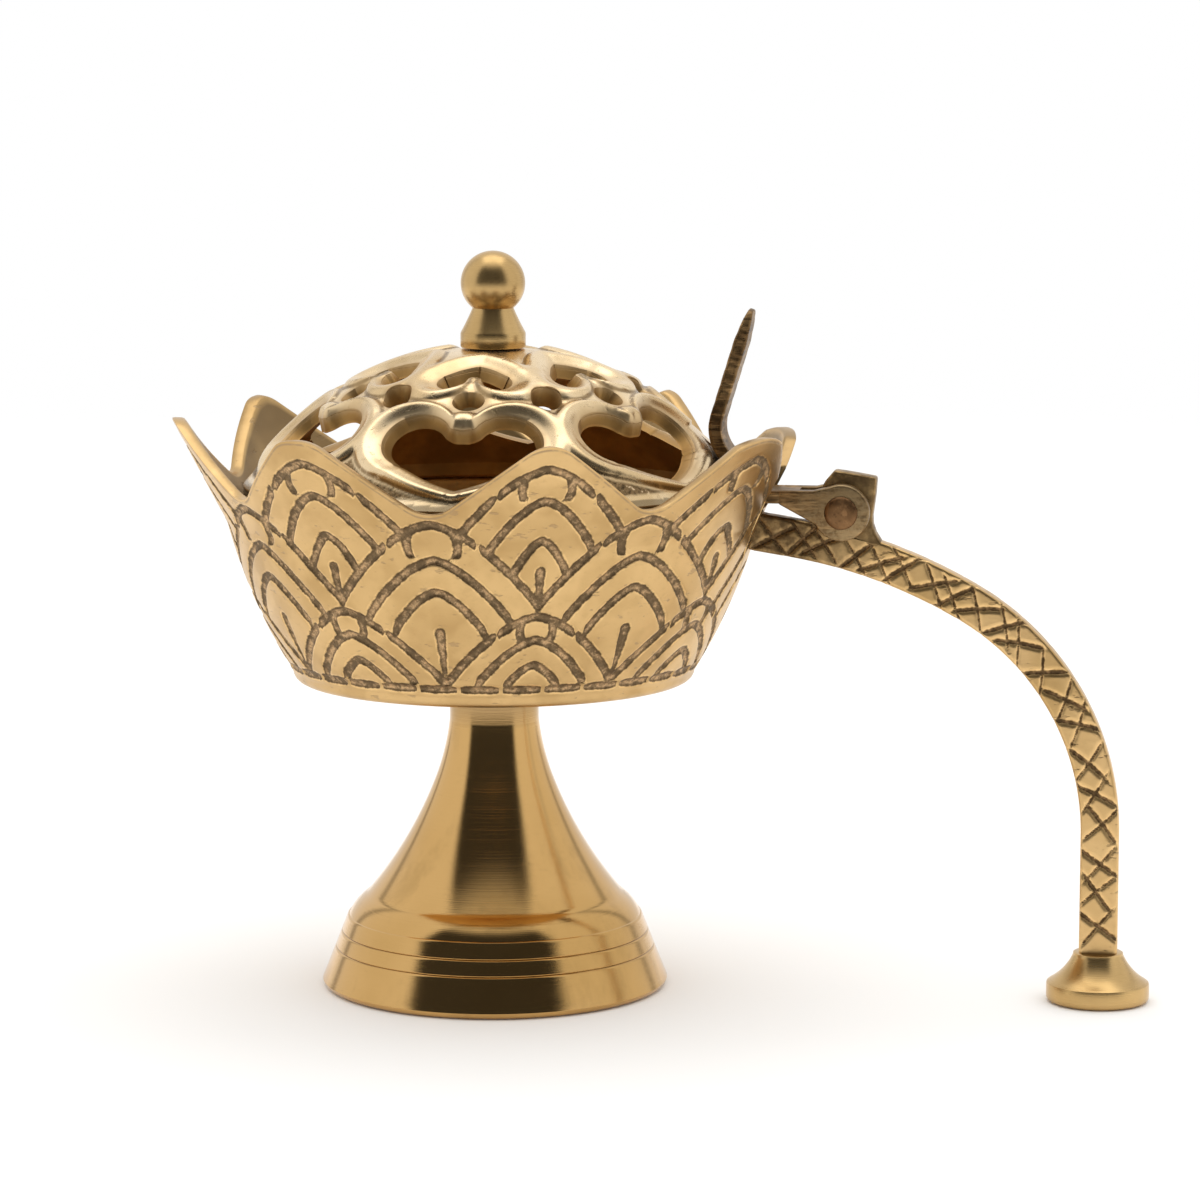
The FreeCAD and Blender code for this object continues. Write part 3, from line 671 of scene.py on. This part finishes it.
def make_handle_foot():
    profile = [(0.0, 0.0), (5.65, 0.0), (6.0, 0.12), (6.17, 0.4), (6.2, 0.8), (6.2, 2.0), (6.14, 2.26),
               (5.9, 2.44)]
    profile += arc(profile[-1], (4.2, 3.85), (3.02, 5.7), 18)
    profile += [(3.0, 5.92), (2.85, foot_top), (0.0, foot_top)]
    bm = turned(profile, small_steps)
    bmesh.ops.translate(bm, vec=(leg_x, 0, 0), verts=bm.verts)
    piece("handle_foot_turned", bm, "base", ["handle_foot"], knob_finish, 40.0)


def make_hinge_pin():
    head = [(0.0, 3.85), (0.9, 3.83), (1.45, 3.76), (1.82, 3.62), (1.98, 3.45), (2.0, 3.36), (1.5, 3.35)]
    profile = head + [(r, -z) for r, z in reversed(head)]
    bm = turned(profile, pin_steps)
    bmesh.ops.rotate(bm, cent=(0, 0, 0), matrix=Matrix.Rotation(math.pi / 2, 3, "X"), verts=bm.verts)
    bmesh.ops.translate(bm, vec=(pin_x, 0, pin_z), verts=bm.verts)
    piece("hinge_pin_peened", bm, "base", ["hinge_pin"], pin_finish, 45.0)


# Handle

def plate(bm, outline, low_y, high_y, bevel):
    """A plate cut to an outline in the XZ plane, with its edges eased."""
    verts = [bm.verts.new((x, low_y, z)) for x, z in outline]
    face = bm.faces.new(verts)
    grown = bmesh.ops.extrude_face_region(bm, geom=[face])["geom"]
    top = [g for g in grown if isinstance(g, bmesh.types.BMVert)]
    bmesh.ops.translate(bm, vec=(0, high_y - low_y, 0), verts=top)
    faces = {f for v in verts + top for f in v.link_faces}
    bmesh.ops.recalc_face_normals(bm, faces=list(faces))
    edges = {e for f in faces for e in f.edges if e.calc_face_angle(0) > 0.5}
    bmesh.ops.bevel(bm, geom=list(edges), offset=bevel, offset_type="OFFSET", affect="EDGES", segments=3,
                    profile=0.5, material=-1)


def make_handle():
    first, second = math.radians(9.0), math.radians(28.0)
    root, root_run = (30.0, 56.85), 17
    first_share, second_share = 0.335, 0.627
    half_depth, half_width, bar_corner = 2.3, 1.3, 0.38
    crosses, first_cross, pitch, wider_from, wider = 20, 4.6, 3.3, 10, 0.8
    stroke_half, hatch_depth, hatch_half = 2.6, 0.16, 0.40
    rise = (root[0] + root_run * math.cos(first), root[1] - root_run * math.sin(first))
    arch = (leg_x - rise[0]) / math.cos(second)
    fall = (leg_x, rise[1] - arch * math.sin(second))
    bends = (first_share * arch / math.tan((second - first) / 2),
             second_share * arch / math.tan((math.pi / 2 - second) / 2))
    line = bent_line([root, rise, fall, (leg_x, foot_top)], bends)

    def section(s, length):
        return half_depth + 0 * s, half_width + 0 * s, bar_corner + 0 * s

    bm, s, a, b, out_a, out_b, spot, normal = sweep(line, section, 360, 80)
    away = np.full_like(s, uncut)
    for i in range(crosses):
        middle = first_cross + pitch * i + wider * max(0, i - wider_from) + 0.45 * math.sin(2.3 * i)
        for hand in (-1, 1):
            for face in (-1, 1):
                angle = math.radians(45 + 10 * math.sin(3.1 * i + hand + 2 * face)) * hand
                du, dv = s - middle - 0.25 * face, a - 0.35 * math.sin(1.7 * i + face)
                across = np.abs(-math.sin(angle) * du + math.cos(angle) * dv)
                along = np.abs(math.cos(angle) * du + math.sin(angle) * dv)
                line_gap = across * (0.8 if hand > 0 else 1.3) + 0.35 * np.maximum(0, along - stroke_half)
                away = np.where(b * face > 0.9, np.minimum(away, line_gap), away)
    depth = hatch_depth * np.clip(1 - (away / hatch_half) ** 2, 0, 1)
    a, b = a - depth * out_a, b - depth * out_b
    move(bm, np.stack([spot[:, 0] + a * normal[:, 0], b, spot[:, 1] + a * normal[:, 1]], 1))
    set_mark(bm, "cut", away)
    # Darker towards the root at the bowl, fading out 19 mm along the bar
    set_mark(bm, "dirt_and_shade", np.clip((19.0 - s) / 11, 0, 1))
    close_up(bm)
    ends = [e for e in bm.edges if e.is_boundary]
    bmesh.ops.holes_fill(bm, edges=ends, sides=0)
    lug = [(-3.2, -2.6), (-2.55, 2.7), (-2.1, 3.6), (-1.0, 4.9), (0.4, 4.72), (1.8, 4.5), (3.0, 4.3),
           (4.1, 4.1), (3.95, 2.0), (3.6, -0.6), (3.66, -1.6), (4.0, -2.6), (4.7, -3.7), (5.8, -4.6)]
    tenon = [(26.1, 54.6), (26.1, 57.6), (31.4, 57.6), (31.4, 54.6)]
    plate(bm, [(pin_x + x, pin_z + z) for x, z in lug], -half_width, half_width, 0.32)
    plate(bm, tenon, -1.25, 1.25, 0.3)
    # The lug and tenon plates have no cut lines; they get the uncut mark and are darkened
    cut, dirt_and_shade = bm.verts.layers.float["cut"], bm.verts.layers.float["dirt_and_shade"]
    rim = bm.verts.layers.float.new("rim")
    for v in bm.verts:
        v[rim] = no_rim
        if v[cut] == 0.0:
            v[cut], v[dirt_and_shade] = uncut, 0.9
    piece("handle_hatched", bm, "base", ["handle"], handle_finish, 45.0)


# Lid

# Piercings: place up the dome, way up, then the heart's hole and the ring's outline
big_heart = (0.239, 1, (5.5, 2.3, 4.25, 5.7, 1.2), (6.7, 2.4, 6.25, 7.3))
small_heart = (0.637, -1, (2.7, 0.9, 1.9, 3.4), (4.5, 1.3, 4.1, 7.2))
hearts, round_holes = 6, 12
hole_place, hole_r = 0.481, 1.95


def heart_gap(u, v, lobe_x, lobe_y, lobe_r, tip, notch=-0.5):
    """Distance outside a heart whose tip is at -tip, negative inside it."""
    flank_bulge, blend = 0.24, 0.6
    x = np.abs(u)
    lobe = np.hypot(x - lobe_x, v - lobe_y) - lobe_r
    reach = math.hypot(lobe_x, lobe_y + tip)
    lean = math.atan2(lobe_y + tip, lobe_x) - math.asin(lobe_r / reach)
    run = math.sqrt(reach ** 2 - lobe_r ** 2)
    du, dv = x, v + tip
    along = du * math.cos(lean) + dv * math.sin(lean)
    share = np.clip(along / run, 0, 1)
    across = du * math.sin(lean) - dv * math.cos(lean) - flank_bulge * run * share * (1 - share)
    blade = np.maximum(np.maximum(across, along - run), v - lobe_y - notch)
    h = np.clip(0.5 + 0.5 * (blade - lobe) / blend, 0, 1)
    return blade * (1 - h) + lobe * h - blend * h * (1 - h)


def on_lid(x, y):
    """Over the flattened dome: gap to the piercings, height of the dished rings, matted ground."""
    rho, phi = np.hypot(x, y), np.arctan2(y, x)
    theta = rho / dome_r
    ball = dome_r * np.stack([np.sin(theta) * np.cos(phi), np.sin(theta) * np.sin(phi), np.cos(theta)])
    gap = np.full_like(x, 9.0)
    rise = np.full_like(x, -9.0)
    ground = np.full_like(x, 9.0)

    def local(place, azimuth):
        lat, az = math.radians(rim_lat + place * (90 - rim_lat)), math.radians(azimuth)
        out = np.array([math.cos(lat) * math.cos(az), math.cos(lat) * math.sin(az), math.sin(lat)])
        up = np.array([-math.sin(lat) * math.cos(az), -math.sin(lat) * math.sin(az), math.cos(lat)])
        side = np.array([-math.sin(az), math.cos(az), 0])
        near = out @ ball > 0.6 * dome_r
        return side @ ball, up @ ball, near

    for i in range(hearts):
        for place, turn, hole, ring in (big_heart, small_heart):
            u, v, near = local(place, 90 + 60 * i)
            inside = heart_gap(u, v * turn, *hole)
            outside = heart_gap(u, v * turn, *ring)
            tongue = np.maximum(np.abs(u) - 1.2, np.abs(v * turn - ring[1] - 1.5) - 2.2)
            outside = np.minimum(outside, tongue) if turn > 0 else outside
            share = np.clip(inside / np.maximum(inside - outside, 1e-6), 0, 1)
            inward, outward = np.clip(share / 0.62, 0, 1), np.clip((share - 0.76) / 0.24, 0, 1)
            dish = -0.55 + 0.95 * inward ** 2 * (3 - 2 * inward) - 0.5 * outward ** 2 * (3 - 2 * outward)
            on_ring = near & (inside > -0.6) & (outside < 0)
            rise = np.where(on_ring, np.maximum(rise, dish), rise)
            gap = np.where(near, np.minimum(gap, inside), gap)
            ground = np.where(near, np.minimum(ground, outside), ground)
    for i in range(round_holes):
        u, v, near = local(hole_place, 30 * i)
        gap = np.where(near, np.minimum(gap, np.hypot(u, v) - hole_r), gap)
    rise = np.where(rise < -5, -0.25 - 0.2 * np.clip(1 - gap / 0.7, 0, 1), rise)
    return gap, rise, ground


def make_lid():
    rim_rho = dome_r * math.radians(90 - rim_lat)
    bm = bmesh.new()
    bmesh.ops.create_grid(bm, x_segments=lid_cells, y_segments=lid_cells, size=lid_reach)

    def open_gap(x, y):
        return np.minimum(on_lid(x, y)[0], rim_rho - np.hypot(x, y))

    centres = np.array([f.calc_center_median() for f in bm.faces])
    gone = open_gap(centres[:, 0], centres[:, 1]) < 0
    bmesh.ops.delete(bm, geom=[f for f, lost in zip(bm.faces[:], gone) if lost], context="FACES")
    for _ in range(2):
        rim = [v for v in bm.verts if v.is_boundary]
        x, y = np.array([v.co.xy for v in rim]).T
        f, e = open_gap(x, y), 0.02
        gx = (open_gap(x + e, y) - open_gap(x - e, y)) / (2 * e)
        gy = (open_gap(x, y + e) - open_gap(x, y - e)) / (2 * e)
        size = np.maximum(gx ** 2 + gy ** 2, 0.3)
        shifts = [np.clip(-f * slope / size, -0.3, 0.3) for slope in (gx, gy)]
        for v, dx, dy in zip(rim, *shifts):
            v.co.x += dx
            v.co.y += dy
        x, y, _ = places(bm).T
        close = open_gap(x, y) < 0.9
        soft = [v for v, near in zip(bm.verts, close) if near and not v.is_boundary]
        for _ in range(3):
            bmesh.ops.smooth_vert(bm, verts=soft, factor=0.5, use_axis_x=True, use_axis_y=True,
                                  use_axis_z=False)
    grown = bmesh.ops.extrude_face_region(bm, geom=bm.faces[:])["geom"]
    outer = {g for g in grown if isinstance(g, bmesh.types.BMVert)}
    on_top = np.array([v in outer for v in bm.verts])
    x, y, _ = places(bm).T
    gap, rise, ground = on_lid(x, y)
    around, blur = np.radians(range(0, 360, 60)), 0.4
    for turn in around:
        rise = rise + on_lid(x + blur * math.cos(turn), y + blur * math.sin(turn))[1]
    rise = rise / (len(around) + 1)
    e = 0.05
    gx = (on_lid(x + e, y)[0] - on_lid(x - e, y)[0]) / (2 * e)
    gy = (on_lid(x, y + e)[0] - on_lid(x, y - e)[0]) / (2 * e)
    draft = np.where(on_top, 0.0, 0.9 * np.clip(1 - gap / 2.0, 0, 1))
    x, y = x - gx * draft, y - gy * draft
    rho, phi = np.hypot(x, y), np.arctan2(y, x)
    fade = np.clip((rim_rho - rho) / 1.6, 0, 1)
    relief = rise * fade
    lat = 90 - np.degrees(rho / dome_r)
    from_strap = np.abs(dome_r * np.sin(rho / dome_r) * np.sin(phi))
    under_strap = (lat < 48) & (from_strap < 4.4) & (np.cos(phi) > 0)
    relief = np.where(under_strap, np.minimum(relief, -0.06), relief)
    radius = np.where(on_top, dome_r + relief, dome_r - dome_wall)
    theta = rho / dome_r
    flat_r = radius * np.sin(theta)
    move(bm, np.stack([flat_r * np.cos(phi), flat_r * np.sin(phi), dome_z + radius * np.cos(theta)], 1))
    bmesh.ops.recalc_face_normals(bm, faces=bm.faces)
    upper_line, lower_line, skirt_foot, skirt_top = 61.45, 60.2, 59.3, 61.8
    edge, mid_wall = (rim_r - 0.35, rim_z + 0.2), rim_r - 1.2
    outline = [edge, (rim_r - 0.02, rim_z + 0.02), (rim_r, rim_z - 0.3), (rim_r - 0.12, upper_line),
               (rim_r, 61.3), (rim_r, 60.35), (rim_r - 0.1, lower_line), (rim_r, 60.05), (rim_r, 59.62),
               (rim_r - 0.1, 59.4), (rim_r - 0.32, skirt_foot), (rim_r - 1.6, skirt_foot),
               (rim_r - 1.9, 59.6), (rim_r - 1.9, 61.2), edge]
    skirt = turned(outline, skirt_steps)
    _, _, high = places(skirt).T
    wide = np.hypot(*places(skirt).T[:2])
    # Painted shade: the skirt's inside is fully shaded, its lower outer face partly
    set_mark(skirt, "inner", np.where(wide < mid_wall, 1.0, np.where(high < skirt_top, 0.4, 0.0)))
    # Painted shade on the skirt's lower outer face, which stands inside the bowl
    set_mark(skirt, "gap_shade", np.where((wide > mid_wall) & (high < skirt_top), 0.9, 0.0))
    set_mark(skirt, "border", np.minimum(np.abs(high - upper_line), np.abs(high - lower_line)) + 0.05)
    joined = bpy.data.meshes.new("skirt")
    skirt.to_mesh(joined)
    skirt.free()
    seam = np.clip((ground - 0.25) / 0.3, 0, 1) * np.where(gap > 0.15, 1, 0)
    seam = seam * np.clip((54 - lat) / 2, 0, 1) * np.clip((rim_rho - rho - 1.5) / 0.3, 0, 1)
    set_mark(bm, "seam", np.where(on_top, seam, 0.0))
    # Painted shade: the top is tinted toward the hole-wall tone near the piercings, and the underside is
    # fully shaded
    set_mark(bm, "inner", np.where(on_top, 0.065 * np.clip(1 - gap / 1.4, 0, 1), 1.0))
    # Painted shade on a ring at the dome's edge
    set_mark(bm, "gap_shade", np.where(on_top & (rho > rim_rho - 0.8), 0.6, 0.0))
    set_mark(bm, "border", np.where(on_top, ground, 9.0))
    bm.from_mesh(joined)
    bpy.data.meshes.remove(joined)
    piece("lid_pierced", bm, "lid", ["lid_dome"], lid_finish, 42.0)


# Strap and thumb lever

def make_strap():
    thick, strap_z, strap_start, strap_place = 1.6, 61.0, 37.45, 0.0744
    lever_lean, lever_length, bends = math.radians(73), 15.8, (1.8, 5.0)
    knuckle_r, cheek_in, cheek_out = 3.4, 1.5, 3.25
    lat = math.radians(rim_lat + strap_place * (90 - rim_lat))
    out, up = Vector((math.cos(lat), math.sin(lat))), Vector((-math.sin(lat), math.cos(lat)))
    base = Vector((0, dome_z)) + out * (dome_r + 0.08 + thick / 2)
    low = base + up * ((strap_z - base.y) / up.y)
    high = base + up * 4.4
    tip = high + Vector((math.cos(lever_lean), math.sin(lever_lean))) * lever_length
    line = bent_line([(strap_start, strap_z), low, high, tip], bends)

    def section(s, length):
        left = np.clip(length - s, 0, None)
        round_off = np.sqrt(np.clip(1 - (1 - np.minimum(left / 2.4, 1)) ** 2, 0, 1))
        narrow = np.clip((left - 1.0) / 14.0, 0, 1)
        inlet = np.clip((s - 1.8) / 0.5, 0, 1)
        half_b = (2.55 + 0.7 * narrow) * (0.25 + 0.75 * round_off) - 0.12 * (1 - inlet)
        half_a = thick / 2 * (0.30 + 0.70 * np.clip(left / 4.0, 0, 1) ** 0.6) * (0.93 + 0.07 * inlet)
        return half_a, half_b, np.minimum(0.34, half_a * 0.6)

    bm, s, a, b, out_a, out_b, spot, normal = sweep(line, section, 150, 64)
    ripple = 0.015 * np.sin(s * 2.9 + 0.8 * np.sin(b * 1.3)) * np.clip((s - 14) / 3, 0, 1)
    a = a - (ripple + np.abs(ripple)) * out_a
    filed = 0.5 + 0.5 * np.sin(5.6 * s + 1.3 * np.sin(1.9 * s))
    b = b - 0.07 * filed * np.clip((s - 13) / 2, 0, 1) * out_b
    move(bm, np.stack([spot[:, 0] + a * normal[:, 0], b, spot[:, 1] + a * normal[:, 1]], 1))
    close_up(bm)
    bmesh.ops.holes_fill(bm, edges=[e for e in bm.edges if e.is_boundary], sides=0)
    knuckle = [(35.0, 60.2), (35.0, 61.8), (39.2, 61.8)]
    for i in range(28):
        angle = math.radians(115 - 10 * i)
        knuckle.append((pin_x + knuckle_r * math.cos(angle), pin_z + knuckle_r * math.sin(angle)))
    for low_y, high_y in ((-cheek_out, -cheek_in), (cheek_in, cheek_out)):
        plate(bm, knuckle, low_y, high_y, 0.28)
    set_mark(bm, "bare", 0.75 * np.clip((places(bm)[:, 0] - 38.0) / 2.5, 0, 1))
    piece("lid_strap_filed", bm, "lid", ["lid_strap"], strap_finish, 40.0)


make_bowl()
make_pedestal()
make_knob()
make_handle_foot()
make_hinge_pin()
make_handle()
make_lid()
make_strap()

for name, finish in (("bowl_screw", screw_finish), ("knob_screw", screw_finish),
                     ("handle_rove", screw_finish), ("strap_rivets", pin_finish)):
    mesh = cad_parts[name].data
    mesh.materials.clear()
    mesh.materials.append(finish)


# Floor, light and camera

floor_bm = bmesh.new()
floor_half, fade_from, fade_to = 1.2, 0.22, 0.75
bmesh.ops.create_grid(floor_bm, x_segments=1, y_segments=1, size=floor_half)
floor_mesh = bpy.data.meshes.new("floor")
floor_bm.to_mesh(floor_mesh)
floor_bm.free()
floor = bpy.data.objects.new("floor", floor_mesh)
floor.location.z = -0.0001
scene.collection.objects.link(floor)
paper = bpy.data.materials.new("white_paper")
paper.use_nodes = True
tree = paper.node_tree
sheet = tree.nodes["Principled BSDF"]
sheet.inputs["Base Color"].default_value = (0.98, 0.97, 0.952, 1.0)
sheet.inputs["Roughness"].default_value = 0.9
sheet.inputs["Specular IOR Level"].default_value = 0.0
out_from = node(tree, "ShaderNodeVectorMath", {"operation": "LENGTH"},
                {0: node(tree, "ShaderNodeTexCoord", {}, {}, "Object")}, "Value")
tree.links.new((1.0 - out_from.step(fade_from, fade_to)).socket, sheet.inputs["Alpha"])
floor_mesh.materials.append(paper)

front = math.radians(9.5)
world = bpy.data.worlds.new("studio")
scene.world = world
world.use_nodes = True
tree = world.node_tree
ray = tree.nodes.new("ShaderNodeLightPath")
toward = node(tree, "ShaderNodeTexCoord", {}, {}, "Generated")
ways = (math.sin(front), -math.cos(front), 0.0), (math.cos(front), math.sin(front), 0.0)
ahead, aside = (node(tree, "ShaderNodeVectorMath", {"operation": "DOT_PRODUCT"},
                     {0: toward, 1: way}, "Value") for way in ways)
bearing = aside.maths("ARCTAN2", aside, ahead) * (180 / math.pi)
upward = node(tree, "ShaderNodeSeparateXYZ", {}, {0: toward}, "Z")
overhead, raised = upward.step(0.78, 0.97), upward.step(-0.12, -0.06)
glow, room_dim, frame_dim, fill = 0.93, 0.885, 0.5, 1.08


def between(low, high, soft):
    return bearing.step(low - soft, low + soft) * (1.0 - bearing.step(high - soft, high + soft))


room = between(-62, 50, 3) * raised * (1.0 - overhead)
frames = (between(-140, -134, 2) + between(128, 134, 2) + 0.6 * between(93, 97, 1.5)) * (1.0 - overhead)
glossy = Signal(tree, ray.outputs["Is Glossy Ray"])
seen = Signal(tree, ray.outputs["Is Camera Ray"]) | Signal(tree, ray.outputs["Is Transmission Ray"])
mirrored = glossy * (glow - room * room_dim - frames * frame_dim)
level = seen + (1.0 - seen) * (mirrored + (1.0 - glossy) * fill)
background = tree.nodes["Background"]
background.inputs["Color"].default_value = (1.0, 1.0, 1.0, 1.0)
tree.links.new(level.socket, background.inputs["Strength"])


def soft_box(name, spot, aim, width, height, watts):
    lamp = bpy.data.lights.new(name, "AREA")
    lamp.shape = "RECTANGLE"
    lamp.size, lamp.size_y, lamp.energy = width, height, watts
    holder = bpy.data.objects.new(name, lamp)
    holder.location = spot
    holder.rotation_euler = (Vector(aim) - Vector(spot)).to_track_quat("-Z", "Y").to_euler()
    scene.collection.objects.link(holder)


soft_box("top", (0.0, 0.15, 0.95), (0.02, 0, 0.05), 0.8, 0.6, 1.6)

lens = bpy.data.cameras.new("camera")
eye = bpy.data.objects.new("camera", lens)
scene.collection.objects.link(eye)
distance, eye_z, aim_z, tilt = 0.540, 0.124014, 0.047386, math.radians(8.08)
focal, frame_px, axis_px, sensor_mm = 4471.3, 1200, 494, 36
right = Vector((math.cos(front), math.sin(front), 0))
eye.location = (distance * math.sin(front), -distance * math.cos(front), eye_z)
aside_px = frame_px / 2 - axis_px
aim = Vector((0, 0, aim_z)) + right * (distance / math.cos(tilt) * aside_px / focal)
eye.rotation_euler = (aim - eye.location).to_track_quat("-Z", "Y").to_euler()
lens.lens = sensor_mm * focal / frame_px
lens.clip_end = 100.0
scene.camera = eye
scene.view_settings.view_transform = "Standard"
